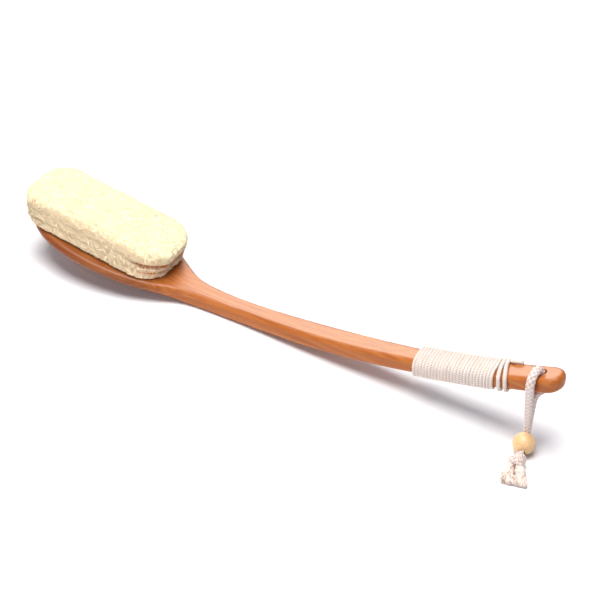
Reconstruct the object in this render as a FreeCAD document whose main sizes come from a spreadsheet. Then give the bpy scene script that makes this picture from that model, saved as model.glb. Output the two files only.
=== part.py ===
"""Loofah back scrubber: a bent wooden paddle and handle, a layered loofah pad,
a cord-bound grip and a hanging loop with a sliding bead, a knot and a tassel.

Frame: +X along the handle from the pad towards the tail, +Z up, pad side up,
origin on the ground below the middle of the length.  Millimetres.
A "station" is the distance along X from the pad's free end.
"""
import FreeCAD, Part
import math
import os
from FreeCAD import Placement, Rotation, Vector

DIMENSIONS = [
    # wooden body, side profile
    ("overall_length", 426.0), ("paddle_tip", 3.0),
    ("head_thickness", 7.3), ("handle_thickness", 11.3),
    ("head_tilt", 10.2), ("bend_start", 118.0), ("bend_end", 175.0),
    ("bend_tilt", 2.0), ("tail_tilt", 20.0),
    ("swell_start", 108.0), ("rest_start", 147.0), ("rest_end", 172.0),
    # wooden body, plan
    ("paddle_width", 66.6), ("neck_width", 15.6), ("handle_width", 18.0),
    ("tail_width", 18.6), ("tail_corner", 9.0),
    ("edge_round", 3.5),
    # hanging hole
    ("hole_station", 409.8), ("hole_diameter", 7.0), ("hole_mouth", 0.7),
    # loofah pad
    ("pad_length", 120.0), ("pad_width", 54.0), ("pad_corner", 20.0),
    ("pad_start", 3.5), ("pad_side", 1.8), ("pad_turn", 2.6), ("layer_step", 2.0),
    ("glue_thickness", 0.5), ("glue_margin", 6.0),
    ("bottom_layer", 6.0), ("core_layer", 6.4), ("top_layer", 7.6),
    ("pad_top_round", 6.5), ("pad_bottom_round", 2.2),
    ("seed_channel", 13.0), ("channel_height", 4.4), ("channel_pitch", 16.5),
    # grip winding
    ("twine", 2.35), ("coil_start", 323.4), ("coil_end", 381.7),
    ("band_width", 3.2), ("band_lean", 7.0),
    ("first_band", 385.7), ("second_band", 390.3), ("twine_tail", 7.0),
    # hanging loop
    ("cord", 5.0), ("pivot_station", 411.0), ("pivot_height", 40.4),
    ("bead_diameter", 14.7), ("bead_bore", 5.1), ("bead_station", 410.7),
    ("bead_side", 16.2), ("doubled_cord", 5.0),
    ("knot_ring", 3.1), ("knot_cord", 2.3), ("knot_pitch", 3.0),
    ("tassel_length", 13.0), ("tassel_root", 8.6), ("tassel_flare", 17.0),
    ("tassel_height", 6.0),
]

doc = FreeCAD.newDocument("loofah_back_scrubber")
sheet = doc.addObject("Spreadsheet::Sheet", "dims")
for row, (alias, value) in enumerate(DIMENSIONS, 1):
    sheet.set(f"A{row}", alias)
    sheet.set(f"B{row}", str(value))
    sheet.setAlias(f"B{row}", alias)
doc.recompute()
D = {alias: float(sheet.get(alias)) for alias, _ in DIMENSIONS}


def feature(name, shape, placement=None):
    """A plain feature that carries a computed shape."""
    obj = doc.addObject("Part::Feature", name)
    obj.Shape = shape
    if placement is not None:
        obj.Placement = placement
    return obj


def bind(obj, **sizes):
    for prop, cell in sizes.items():
        obj.setExpression(prop, cell)
    return obj


# ---------------------------------------------------------------- side profile
MID = D["overall_length"] / 2.0
HEAD = math.radians(D["head_tilt"])
FLAT = math.radians(D["bend_tilt"])
TAIL = math.radians(D["tail_tilt"])
BEND_RADIUS = (D["bend_end"] - D["bend_start"]) / (math.sin(HEAD) + math.sin(FLAT))
SWEEP_RADIUS = (D["overall_length"] - D["bend_end"]) / (math.sin(TAIL) - math.sin(FLAT))


def slope_angle(station):
    """Angle of the top face above the horizontal, rising towards the tail."""
    if station < D["bend_start"]:
        return -HEAD
    if station < D["bend_end"]:
        return math.asin((station - D["bend_start"]) / BEND_RADIUS - math.sin(HEAD))
    return math.asin(math.sin(FLAT) + (station - D["bend_end"]) / SWEEP_RADIUS)


def rise(station):
    """Height of the top face above its height at the end of the bend."""
    if station < D["bend_start"]:
        return rise(D["bend_start"]) + (D["bend_start"] - station) * math.tan(HEAD)
    angle = slope_angle(station)
    radius = BEND_RADIUS if station < D["bend_end"] else SWEEP_RADIUS
    return radius * (math.cos(FLAT) - math.cos(angle))


DATUM = rise(D["rest_end"]) - D["handle_thickness"]


def top(station):
    return rise(station) - DATUM


def bottom(station):
    """Thin under the head, a swell under the neck, a flat that it rests on, then the handle."""
    if station <= D["swell_start"]:
        return top(station) - D["head_thickness"]
    if station >= D["rest_end"]:
        return top(station) - D["handle_thickness"]
    span = D["rest_start"] - D["swell_start"]
    part = min((station - D["swell_start"]) / span, 1.0)
    begin = top(D["swell_start"]) - D["head_thickness"]
    return (2 * part ** 3 - 3 * part ** 2 + 1) * begin - (part ** 3 - 2 * part ** 2 + part) * span * math.tan(HEAD)


def at(station, side, height):
    return Vector(station - MID, side, height)


def curve(points, start, end):
    """A smooth edge through the points, with unit end tangents and chord-length parameters."""
    lengths = [0.0]
    for before, after in zip(points, points[1:]):
        lengths.append(lengths[-1] + (after - before).Length)
    spline = Part.BSplineCurve()
    spline.interpolate(Points=points, Parameters=lengths, InitialTangent=start,
                       FinalTangent=end, Scale=False)
    return spline.toShape()


def side_edges(height, first, last, corners):
    """A line and curve edges in the XZ plane that follow a height function."""
    stops = [first] + [c for c in corners if first < c < last] + [last]
    edges = []
    for a, b in zip(stops, stops[1:]):
        count = max(2, int((b - a) / 14.0))
        stations = [a + (b - a) * i / count for i in range(count + 1)]
        points = [at(s, 0.0, height(s)) for s in stations]
        step = 0.01
        ends = []
        for s in (a + step, b - step):
            ends.append(Vector(2 * step, 0, height(s + step) - height(s - step)).normalize())
        straight = (ends[0] - ends[1]).Length < 1e-6
        edges.append(Part.LineSegment(points[0], points[-1]).toShape() if straight
                     else curve(points, ends[0], ends[1]))
    return edges


def strip(lower, upper, first, last, half_width, corners=()):
    """A solid between two height functions, from -half_width to +half_width in Y."""
    low = side_edges(lower, first, last, corners)
    high = side_edges(upper, first, last, corners)
    ends = [Part.LineSegment(at(s, 0, lower(s)), at(s, 0, upper(s))).toShape() for s in (first, last)]
    wire = Part.Wire(Part.__sortEdges__(low + high + ends))
    face = Part.Face(wire)
    face.translate(Vector(0, -half_width, 0))
    return face.extrude(Vector(0, 2 * half_width, 0))


# ------------------------------------------------------------------ plan shape
PLAN_STATIONS = (
    # station, half-width as a share of the named width
    (58.0, 1.000, "paddle_width"), (85.0, 0.930, "paddle_width"), (106.0, 0.765, "paddle_width"),
    (122.0, 0.545, "paddle_width"), (137.0, 1.420, "neck_width"), (157.0, 1.080, "neck_width"),
    (187.0, 1.000, "neck_width"), (235.0, 0.980, "handle_width"), (285.0, 1.000, "handle_width"),
    (345.0, 0.930, "handle_width"), (400.0, 0.990, "tail_width"),
)


def plan_edges(grow=0.0):
    """The outline from above: an oval paddle, a slim handle, a rounded tail."""
    tip = D["paddle_tip"] - grow
    half = [(s, share * D[name] / 2.0 + grow) for s, share, name in PLAN_STATIONS]
    wide = half[0]
    quarter = (wide[0] - tip, wide[1])
    oval = []
    for angle in (25, 50, 72):
        turn = math.radians(angle)
        oval.append((tip + quarter[0] * (1 - math.cos(turn) ** 0.92), quarter[1] * math.sin(turn) ** 0.96))
    tail = D["overall_length"] + grow
    corner = D["tail_corner"] + grow
    end_half = D["tail_width"] / 2.0 + grow
    last = (tail - corner, end_half)
    edges = []
    for side in (-1, 1):
        points = [at(tip, 0, 0)] + [at(s, side * w, 0) for s, w in oval + half + [last]]
        edges.append(curve(points, Vector(0, side, 0), Vector(1, 0, 0)))
        bulge = corner * math.sqrt(0.5)
        middle = at(tail - corner + bulge, side * (end_half - corner + bulge), 0)
        stop = at(tail, side * (end_half - corner), 0)
        edges.append(Part.Arc(at(*last[:1], side * last[1], 0), middle, stop).toShape())
    edges.append(Part.LineSegment(at(tail, -(end_half - corner), 0), at(tail, end_half - corner, 0)).toShape())
    return edges


def rounded_blank(name, grow=0.0):
    """Plan outline and side profile pulled through each other, long edges rounded."""
    outline = Part.Face(Part.Wire(Part.__sortEdges__(plan_edges(grow))))
    outline.translate(Vector(0, 0, -20))
    plan = doc.addObject("Part::Extrusion", name + "_plan")
    plan.Base = feature(name + "_outline", outline)
    plan.Dir = Vector(0, 0, 1)
    plan.LengthFwd = 120
    plan.Solid = True
    corners = [D[name] for name in ("swell_start", "bend_start", "rest_start", "rest_end", "bend_end")]
    profile = strip(lambda s: bottom(s) - grow, lambda s: top(s) + grow,
                    -10.0, D["overall_length"] + 10.0, D["paddle_width"], corners)
    blank = doc.addObject("Part::Common", name + "_blank")
    blank.Base = plan
    blank.Tool = feature(name + "_profile", profile)
    doc.recompute()
    rounds = []
    for index, edge in enumerate(blank.Shape.Edges, 1):
        first, last = edge.firstVertex(True).Point, edge.lastVertex(True).Point
        upright = abs(first.x - last.x) < 0.01 and abs(first.y - last.y) < 0.01
        across = abs(first.x - last.x) < 0.01 and first.y * last.y < 0 and first.x < MID + grow - 1
        if not (upright or across):
            rounds.append((index, D["edge_round"] + grow, D["edge_round"] + grow))
    rounded = doc.addObject("Part::Fillet", name + "_rounded")
    rounded.Base = blank
    rounded.Edges = rounds
    doc.recompute()
    return rounded


def frame_at(station, side=0.0, lift=0.0):
    """A placement on the top face: local Z is the face normal, local X runs along it."""
    angle = slope_angle(station)
    normal = Vector(-math.sin(angle), 0, math.cos(angle))
    return Placement(at(station, side, top(station)) + normal * lift,
                     Rotation(Vector(0, 1, 0), -math.degrees(angle)))


# ------------------------------------------------------------------- the pieces
def handle_body():
    """One piece of wood with the hanging hole drilled square to its top face."""
    wood = rounded_blank("wood")
    drill = bind(doc.addObject("Part::Cylinder", "hole_drill"), Radius="dims.hole_diameter / 2")
    drill.Height = 40
    place = frame_at(D["hole_station"], lift=-28.0)
    drill.Placement = place
    drilled = doc.addObject("Part::Cut", "wood_drilled")
    drilled.Base = wood
    drilled.Tool = drill
    doc.recompute()
    axis = place.Rotation.multVec(Vector(0, 0, 1))
    mouths = []
    for index, edge in enumerate(drilled.Shape.Edges, 1):
        middle = edge.valueAt((edge.FirstParameter + edge.LastParameter) / 2.0)
        away = (middle - place.Base).cross(axis).Length
        round_edge = abs(away - D["hole_diameter"] / 2.0) < 0.05
        if round_edge and edge.Curve.TypeId != "Part::GeomLine":
            mouths.append((index, D["hole_mouth"], D["hole_mouth"]))
    body = doc.addObject("Part::Fillet", "handle_body")
    body.Base = drilled
    body.Edges = mouths
    return body


def rounded_slab(name, length, width, corner, start):
    """An upright prism over the pad's plan: a rounded rectangle, glued on slightly askew."""
    box = doc.addObject("Part::Box", name + "_box")
    bind(box, Length=length, Width=width)
    box.Height = 120
    doc.recompute()
    middle = at(D["pad_start"] + D["pad_length"] / 2.0, D["pad_side"], -20)
    askew = Placement(middle, Rotation(Vector(0, 0, 1), D["pad_turn"]))
    corner_place = Vector(start - D["pad_length"] / 2.0, -float(box.Width) / 2.0, 0)
    box.Placement = askew.multiply(Placement(corner_place, Rotation()))
    slab = doc.addObject("Part::Fillet", name + "_plan")
    slab.Base = box
    upright = []
    for index, edge in enumerate(box.Shape.Edges, 1):
        first, last = edge.Vertexes[0].Point, edge.Vertexes[-1].Point
        if abs(first.z - last.z) > 1:
            upright.append((index, corner, corner))
    slab.Edges = upright
    return slab


def rounded_rim(name, base, height, radius):
    """The base with the edges of one face rounded: those at a height above the paddle's top face."""
    doc.recompute()
    rim = doc.addObject("Part::Fillet", name)
    rim.Base = base
    chosen = []
    for index, edge in enumerate(base.Shape.Edges, 1):
        seam = all(abs(v.X + MID - D["bend_start"]) < 0.5 for v in edge.Vertexes) and edge.Length > 5
        middle = edge.valueAt((edge.FirstParameter + edge.LastParameter) / 2.0)
        if not seam and abs(middle.z - top(middle.x + MID) - height) < 0.3:
            chosen.append((index, radius, radius))
    rim.Edges = chosen
    return rim


def layer(name, base, low, high):
    """The slice of a base between two heights above the paddle's top face."""
    cut = doc.addObject("Part::Common", name)
    cut.Base = base
    cut.Tool = feature(name + "_slice", strip(lambda s: top(s) + low, lambda s: top(s) + high, -20.0,
                                              D["pad_length"] + 20.0, D["paddle_width"],
                                              [D["bend_start"]]))
    return cut


def loofah_pad():
    """Glue film and three pressed loofah walls that follow the paddle's top face."""
    glue = D["glue_thickness"]
    levels = [glue]
    for name in ("bottom_layer", "core_layer", "top_layer"):
        levels.append(levels[-1] + D[name])

    film_plan = rounded_slab("glue", "dims.pad_length - 2 * dims.layer_step - 2 * dims.glue_margin",
                             "dims.pad_width - 2 * dims.glue_margin",
                             D["pad_corner"] - D["glue_margin"], D["glue_margin"])
    film_slice = layer("glue_sheet", film_plan, 0.0, glue)
    inset = Part.Face(Part.Wire(Part.__sortEdges__(plan_edges(-D["edge_round"] - 1.0))))
    inset.translate(Vector(0, 0, -20))
    film = doc.addObject("Part::Common", "pad_adhesive")
    film.Base = film_slice
    film.Tool = feature("glue_limit", inset.extrude(Vector(0, 0, 120)))

    slices = []
    for index, name in enumerate(("bottom", "core", "top")):
        shorter = f"dims.pad_length - {2 - index} * dims.layer_step"
        plan = rounded_slab(name, shorter, "dims.pad_width", D["pad_corner"], 0.0)
        node = "core_slice" if name == "core" else f"{name}_slice_square"
        slices.append(layer(node, plan, levels[index], levels[index + 1]))
    lower = rounded_rim("loofah_bottom_layer", slices[0], levels[0], D["pad_bottom_round"])
    ribs = slices[1]
    upper = rounded_rim("loofah_top_layer", slices[2], levels[3], D["pad_top_round"])
    middle = (levels[1] + levels[2]) / 2.0
    channel = strip(lambda s: top(s) + middle - D["channel_height"] / 2.0,
                    lambda s: top(s) + middle + D["channel_height"] / 2.0,
                    -10.0, D["pad_length"] + 10.0, D["seed_channel"] / 2.0, [D["bend_start"]])
    channels = [channel.translated(Vector(0, side * D["channel_pitch"] + D["pad_side"], 0)) for side in (-1, 0, 1)]
    core = doc.addObject("Part::Cut", "loofah_core_layer")
    core.Base = ribs
    core.Tool = feature("seed_channels", Part.makeCompound(channels))
    return [film, lower, core, upper]


def band_slab(start, end, lean):
    """An upright slab across the handle between two stations, leaned about the vertical."""
    slab = Part.makeBox(end - start, 80, 80, Vector(-(end - start) / 2.0, -40, -20))
    slab.rotate(Vector(0, 0, 0), Vector(0, 0, 1), lean)
    slab.translate(at((start + end) / 2.0, 0, 0))
    return slab


def half_width(station):
    """Half-width of the handle between two named plan stations."""
    known = [(s, share * D[name] / 2.0) for s, share, name in PLAN_STATIONS]
    for (before, low), (after, high) in zip(known, known[1:]):
        if before <= station <= after:
            return low + (high - low) * (station - before) / (after - before)
    return known[-1][1]


def wound_section(station, grow):
    """Rounded rectangle around the handle, square to its top face."""
    half = half_width(station) + grow
    angle = slope_angle(station)
    high, low = grow, -D["handle_thickness"] * math.cos(angle) - grow
    corner = D["edge_round"] + grow
    place = frame_at(station)
    edges = []
    corners = ((half, high, 0), (-half, high, 90), (-half, low, 180), (half, low, 270))
    ends = []
    for y, z, first in corners:
        centre = Vector(0, y - math.copysign(corner, y), (z - corner) if z == high else (z + corner))
        arc = [centre + Vector(0, math.cos(math.radians(first + turn)), math.sin(math.radians(first + turn))) * corner
               for turn in (0, 45, 90)]
        arc = [place.multVec(point) for point in arc]
        ends.append((arc[0], arc[2]))
        edges.append(Part.Arc(*arc).toShape())
    for (_, one), (two, _) in zip(ends, ends[1:] + ends[:1]):
        edges.append(Part.LineSegment(one, two).toShape())
    return Part.Wire(Part.__sortEdges__(edges))


def grip_cord(wood):
    """One length of twine: a tight coil, two looser bands and a cut tail."""
    twine = D["twine"]
    first, last = D["coil_start"] - 8.0, D["second_band"] + 10.0
    stations = [first + (last - first) * i / 5.0 for i in range(6)]
    sleeve = Part.makeLoft([wound_section(s, twine) for s in stations], True)
    around = sleeve.cut(wood.Shape)
    coil = around.common(band_slab(D["coil_start"], D["coil_end"], D["band_lean"]))
    reach = D["band_width"] / 2.0
    bands = [around.common(band_slab(D[name] - reach, D[name] + reach, D["band_lean"]))
             for name in ("first_band", "second_band")]
    bridge_span = D["second_band"] - D["coil_end"] + 2.0
    below = top(D["second_band"]) - D["handle_thickness"] / 2.0
    bridge = Part.makeBox(bridge_span, twine, below + 20, at(D["coil_end"] - 1.0, -twine / 2.0, -20))
    bridge = around.common(bridge)
    tail = Part.makeCylinder(twine / 2.0 - 0.05, D["twine_tail"], Vector(0, 0, 0), Vector(0.96, 0.28, 0))
    tail.Placement = frame_at(D["second_band"], side=5.2, lift=twine / 2.0)
    winding = coil.fuse(bands + [bridge, tail.cut(wood.Shape)])
    return feature("grip_cord", winding.removeSplitter())


def tube(name, points, diameter_cell):
    """Straight runs joined by tangent arcs, swept with a round section."""
    radii = []
    edges = []
    start = points[0]
    for before, corner, after in zip(points, points[1:], points[2:]):
        toward, away = before - corner, after - corner
        reach = 0.45 * min(toward.Length, away.Length)
        half_turn = (math.pi - toward.getAngle(away)) / 2.0
        radii.append(reach / math.tan(half_turn))
        one, two = corner + toward.normalize() * reach, corner + away.normalize() * reach
        inward = (toward + away).normalize()
        middle = corner + inward * (radii[-1] / math.cos(half_turn) - radii[-1])
        edges += [Part.LineSegment(start, one).toShape(), Part.Arc(one, middle, two).toShape()]
        start = two
    edges.append(Part.LineSegment(start, points[-1]).toShape())
    path = Part.Wire(edges)
    radius = D[diameter_cell] / 2.0
    section = Part.Wire(Part.Circle(points[0], points[1] - points[0], radius).toShape())
    solid = path.makePipeShell([section], True, True)
    ideal = math.pi * radius ** 2 * path.Length
    print(name, "length", round(path.Length, 1), "radii", [round(r, 1) for r in radii],
          "volume / ideal", round(solid.Volume / ideal, 4))
    return feature(name, solid)


BEAD_CENTRE = at(D["bead_station"], -D["bead_side"], D["bead_diameter"] / 2.0)
BEAD_AXIS = Vector(0.22, -0.91, -0.35).normalize()
BEAD_LEAD = 10.5  # from the bead's middle to where the two legs meet


def loop_points():
    """Route of the hanging loop: through the hole, over the near edge, down to the bead."""
    hole = frame_at(D["hole_station"])
    over = hole.multVec(Vector(0, -0.4, 4.0))
    under = hole.multVec(Vector(0, -0.4, -D["handle_thickness"] - 0.6))
    level = D["pivot_height"]
    upper = [at(411.2, -4.0, level - 1.5), under, over, at(408.2, -11.9, 57.2), at(408.3, -12.6, level - 1.5)]
    top_of_bead = BEAD_CENTRE - BEAD_AXIS * BEAD_LEAD
    front = [at(408.3, -12.6, level + 1.5), at(408.2, -11.4, 28.0), top_of_bead]
    rear = [at(411.2, -4.0, level + 1.5), at(409.6, -6.3, 26.0), top_of_bead]
    return upper, front, rear


def trimmed(name, cord, floor):
    """The part of a cord inside a 60 mm cube that stands on the given level."""
    box = doc.addObject("Part::Box", name + "_space")
    box.Length = box.Width = box.Height = 60
    box.Placement = Placement(at(380, -50, floor), Rotation())
    part = doc.addObject("Part::Common", name)
    part.Base = cord
    part.Tool = box
    return part


def hanging_loop():
    """Upper bight in the hole, lower legs, bead, knot and tassel."""
    upper_route, front_route, rear_route = loop_points()
    level = D["pivot_height"]
    knot_axis = Vector(0.15, -0.985, 0).normalize()
    knot_centre = at(413.3, -31.8, D["knot_ring"] + D["knot_cord"])

    bight = tube("loop_bight", upper_route, "cord")
    upper = trimmed("loop_cord_upper", bight, level)
    front = tube("loop_front_leg", front_route, "cord")
    rear = tube("loop_rear_leg", rear_route, "cord")
    core = bind(doc.addObject("Part::Cylinder", "loop_core"), Radius="dims.doubled_cord / 2")
    core.Height = BEAD_LEAD + 13.5
    threaded = Rotation(Vector(0, 0, 1), BEAD_AXIS)
    core.Placement = Placement(BEAD_CENTRE - BEAD_AXIS * BEAD_LEAD, threaded)
    legs = doc.addObject("Part::MultiFuse", "loop_legs")
    legs.Shapes = [front, rear, core]
    lower = trimmed("loop_cord_lower", legs, level - 60.05)

    ball = bind(doc.addObject("Part::Sphere", "bead_ball"), Radius="dims.bead_diameter / 2")
    ball.Placement = Placement(BEAD_CENTRE, threaded)
    bore = bind(doc.addObject("Part::Cylinder", "bead_drill"), Radius="dims.bead_bore / 2")
    bore.Height = 30
    bore.Placement = Placement(BEAD_CENTRE - BEAD_AXIS * 15, threaded)
    drilled = doc.addObject("Part::Cut", "bead_drilled")
    drilled.Base = ball
    drilled.Tool = bore
    doc.recompute()
    mouths = [(number, 0.5, 0.5) for number, edge in enumerate(drilled.Shape.Edges, 1)
              if len(edge.Vertexes) == 1 and abs(edge.Length - math.pi * D["bead_bore"]) < 0.1]
    bead = doc.addObject("Part::Fillet", "bead")
    bead.Base = drilled
    bead.Edges = mouths

    turn = Rotation(Vector(0, 0, 1), knot_axis)
    wraps = []
    for index in (-1, 0, 1):
        ring = doc.addObject("Part::Torus", f"knot_wrap_{index + 2}")
        bind(ring, Radius1="dims.knot_ring", Radius2="dims.knot_cord")
        ring.Placement = Placement(knot_centre + knot_axis * (index * D["knot_pitch"]), turn)
        wraps.append(ring)
    middle = bind(doc.addObject("Part::Cylinder", "knot_core"), Radius="dims.knot_ring + 0.4",
                  Height="2 * dims.knot_pitch + 2.4")
    doc.recompute()
    middle.Placement = Placement(knot_centre - knot_axis * (float(middle.Height) / 2.0), turn)
    knot = doc.addObject("Part::MultiFuse", "knot")
    knot.Shapes = wraps + [middle]

    root = knot_centre + knot_axis * (D["knot_pitch"] + 1.2)
    tassel_axis = Vector(0.38, -0.92, 0).normalize()
    across = Vector(0.92, 0.38, 0)
    sections = []
    shares = ((0.0, D["tassel_root"], D["tassel_height"], 0.0),
              (0.45, D["tassel_flare"] * 0.70, D["tassel_height"], 0.55),
              (1.0, D["tassel_flare"], D["tassel_height"] * 0.66, 1.0))
    for share, width, height, drop in shares:
        low = root.z - (root.z - height / 2.0 - 0.02) * drop
        centre = root + tassel_axis * (D["tassel_length"] * share)
        centre.z = low
        ellipse = Part.Ellipse(centre + across * (width / 2.0), centre + Vector(0, 0, height / 2.0), centre)
        sections.append(Part.Wire(ellipse.toShape()))
    tassel = feature("tassel", Part.makeLoft(sections, True))
    return [upper, lower, bead, knot, tassel]


def build():
    wood = handle_body()
    doc.recompute()
    pieces = [wood] + loofah_pad() + [grip_cord(wood)] + hanging_loop()
    doc.recompute()
    for obj in doc.Objects:
        if "Invalid" in obj.State or "Error" in obj.State:
            raise RuntimeError(f"{obj.Name} failed: {obj.State}")
    os.makedirs("parts", exist_ok=True)
    for piece in pieces:
        piece.Label = piece.Name
        shape = piece.Shape
        if shape.isNull() or not shape.isValid():
            raise RuntimeError(f"{piece.Name} has no valid shape")
        box = shape.optimalBoundingBox(False)
        print(f"{piece.Label:22s} solids {len(shape.Solids)} volume {shape.Volume / 1000:8.3f} cm3  "
              f"x {box.XMin:7.1f} {box.XMax:7.1f}  y {box.YMin:6.1f} {box.YMax:6.1f}  "
              f"z {box.ZMin:6.2f} {box.ZMax:6.2f}  centre {shape.CenterOfGravity.x:6.1f}")
        shape.exportStep(f"parts/{piece.Label}.step")


build()
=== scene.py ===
"""Loofah back scrubber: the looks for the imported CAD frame. Blender 4.5, metres."""
import math
import random

import bmesh
import bpy
import numpy as np
from mathutils import Matrix, Vector, noise
from mathutils.bvhtree import BVHTree


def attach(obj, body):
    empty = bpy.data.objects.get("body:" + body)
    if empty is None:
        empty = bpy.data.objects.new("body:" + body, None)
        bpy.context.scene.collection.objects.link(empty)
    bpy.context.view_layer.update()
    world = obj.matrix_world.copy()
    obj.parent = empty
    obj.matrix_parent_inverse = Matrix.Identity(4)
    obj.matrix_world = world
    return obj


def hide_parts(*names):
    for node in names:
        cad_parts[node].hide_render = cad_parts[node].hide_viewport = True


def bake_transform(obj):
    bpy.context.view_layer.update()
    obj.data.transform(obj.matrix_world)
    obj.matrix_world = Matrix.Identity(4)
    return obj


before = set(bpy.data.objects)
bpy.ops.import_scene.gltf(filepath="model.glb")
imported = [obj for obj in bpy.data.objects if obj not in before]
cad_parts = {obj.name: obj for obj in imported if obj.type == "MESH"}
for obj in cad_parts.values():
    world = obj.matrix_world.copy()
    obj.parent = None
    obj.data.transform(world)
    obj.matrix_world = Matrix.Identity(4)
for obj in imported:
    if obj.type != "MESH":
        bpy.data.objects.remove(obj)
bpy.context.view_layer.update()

MM = 0.001
MID = 213.0          # station, in mm, of the frame's origin
scene = bpy.context.scene
chance = random.Random(7)


def at(station, y, z):
    """A point from a station along the length, a side and a height, all in mm."""
    return Vector(((station - MID) * MM, y * MM, z * MM))


# ---------------- mesh helpers

def set_values(mesh, key, values):
    """Keeps one number a point on a mesh, for its material to read."""
    layer = mesh.attributes.new(key, "FLOAT", "POINT")
    layer.data.foreach_set("value", np.asarray(values, np.float32))


def new_mesh(name, points, faces, material, smooth=True, **attributes):
    """An object from points and faces, with float attributes on its points."""
    mesh = bpy.data.meshes.new(name)
    mesh.from_pydata([tuple(p) for p in points], [], faces)
    for key, values in attributes.items():
        set_values(mesh, key, values)
    mesh.polygons.foreach_set("use_smooth", [smooth] * len(mesh.polygons))
    mesh.materials.append(material)
    mesh.update()
    obj = bpy.data.objects.new(name, mesh)
    scene.collection.objects.link(obj)
    return obj


class Gather:
    """Collects many tubes into one mesh."""

    def __init__(self):
        self.points, self.faces, self.depth = [], [], []

    def tube(self, rings, depth):
        """rings: (count, sides, 3) points. depth: (count, sides) shading values. Both ends are closed."""
        count, sides = rings.shape[:2]
        start = sum(len(p) for p in self.points)
        self.points.append(rings.reshape(-1, 3))
        self.depth.append(np.broadcast_to(depth, (count, sides)).reshape(-1))
        for i in range(count - 1):
            a, b = start + i * sides, start + (i + 1) * sides
            self.faces += [(a + j, a + (j + 1) % sides, b + (j + 1) % sides, b + j) for j in range(sides)]
        self.faces.append(tuple(start + j for j in reversed(range(sides))))
        self.faces.append(tuple(start + (count - 1) * sides + j for j in range(sides)))

    def build(self, name, material):
        return new_mesh(name, np.concatenate(self.points), self.faces, material,
                        depth=np.concatenate(self.depth))


def unit(vectors):
    return vectors / np.maximum(np.linalg.norm(vectors, axis=-1, keepdims=True), 1e-12)


def evenly(line, step):
    """The line again, with points about step apart."""
    along = np.concatenate([[0], np.cumsum(np.linalg.norm(np.diff(line, axis=0), axis=1))])
    places = np.linspace(0, along[-1], max(3, int(along[-1] / step) + 1))
    return np.stack([np.interp(places, along, line[:, k]) for k in range(3)], axis=1), places


def carried_frames(line, first):
    """Unit tangents, and two unit directions square to them that don't twist along the line."""
    tangents = unit(np.gradient(line, axis=0))
    sides = []
    side = np.array(first, float)
    for tangent in tangents:
        side = side - tangent * (side @ tangent)
        side = side / np.linalg.norm(side)
        sides.append(side)
    sides = np.array(sides)
    return tangents, sides, np.cross(tangents, sides)


def rings_round(line, one, two, radii, turn):
    """Rings round a line. one and two are unit directions square to it; radii has a row for each point."""
    return (line[:, None] + radii[..., None]
            * (np.cos(turn)[None, :, None] * one[:, None] + np.sin(turn)[None, :, None] * two[:, None]))


def round_tube(gather, line, radii, sides, depth, first=(0.31, 0.2, 0.93)):
    """A plain round tube along a line of points, with a radius for each."""
    _, one, two = carried_frames(line, first)
    turn = np.linspace(0, 2 * math.pi, sides, endpoint=False)
    gather.tube(rings_round(line, one, two, radii[:, None], turn), depth)


BRAID_STEP = 0.45 * MM
CORE_SHARE = 0.74         # the core's size against the whole braid's


def braid(gather, line, wide, thin, first, carriers, pitch, swing):
    """Yarns braided over a core. wide and thin are the cord's half-width and half-thickness along it.

    carriers yarns run each way, pitch is the length of a turn, and swing is how far they weave in and out."""
    line, along = evenly(line, BRAID_STEP)
    _, one, two = carried_frames(line, first)
    share = along / along[-1]
    wide = np.interp(share, np.linspace(0, 1, len(wide)), wide)
    thin = np.interp(share, np.linspace(0, 1, len(thin)), thin)
    turn = np.linspace(0, 2 * math.pi, 8, endpoint=False)
    for way in (1, -1):
        wave = way * np.cos(carriers * 2 * math.pi * along / pitch)
        for k in range(carriers):
            angle = way * 2 * math.pi * along / pitch + 2 * math.pi * k / carriers
            reach = 0.80 + swing * wave
            out = (np.cos(angle) * wide)[:, None] * one + (np.sin(angle) * thin)[:, None] * two
            centre = line + out * reach[:, None]
            tangent = unit(np.gradient(centre, axis=0))
            away = unit(out)
            away = unit(away - tangent * (away * tangent).sum(1)[:, None])
            across = np.cross(tangent, away)
            size = np.sqrt(wide * thin)
            half_flat, half_broad = 0.19 * size, 0.37 * size * (6.0 / carriers)
            rings = (centre[:, None]
                     + (np.cos(turn)[None, :] * half_broad[:, None])[..., None] * across[:, None]
                     + (np.sin(turn)[None, :] * half_flat[:, None])[..., None] * away[:, None])
            # Lower where a yarn dips under the others and on its inner face: painted shade between the yarns.
            depth = 0.22 + 0.45 * wave[:, None] + 0.38 * np.sin(turn)[None, :]
            gather.tube(rings, depth)
    section = ((np.cos(turn)[None, :] * wide[:, None])[..., None] * one[:, None]
               + (np.sin(turn)[None, :] * thin[:, None])[..., None] * two[:, None])
    # The core shows only between the yarns, and is coloured darkest as painted shade.
    gather.tube(line[:, None] + CORE_SHARE * section, 0.05)


def route_line(controls):
    """Points along the smooth NURBS route that has these control points."""
    curve = bpy.data.curves.new("route", "CURVE")
    curve.dimensions, curve.resolution_u = "3D", 32
    spline = curve.splines.new("NURBS")
    spline.points.add(len(controls) - 1)
    for point, place in zip(spline.points, controls):
        point.co = (*place, 1.0)
    spline.order_u = 3
    spline.use_endpoint_u = True
    holder = bpy.data.objects.new("route", curve)
    mesh = bpy.data.meshes.new_from_object(holder)
    line = np.array([v.co for v in mesh.vertices])
    bpy.data.meshes.remove(mesh)
    bpy.data.objects.remove(holder)
    bpy.data.curves.remove(curve)
    return line


def surface_tree(obj):
    """A search tree over a mesh's faces, for rays and nearest points."""
    mesh = obj.data
    return BVHTree.FromPolygons([v.co for v in mesh.vertices], [tuple(p.vertices) for p in mesh.polygons])


# ---------------- materials

def material(name):
    """A new material, its node tree and its shader."""
    mat = bpy.data.materials.new(name)
    mat.use_nodes = True
    return mat, mat.node_tree, mat.node_tree.nodes["Principled BSDF"]


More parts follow.
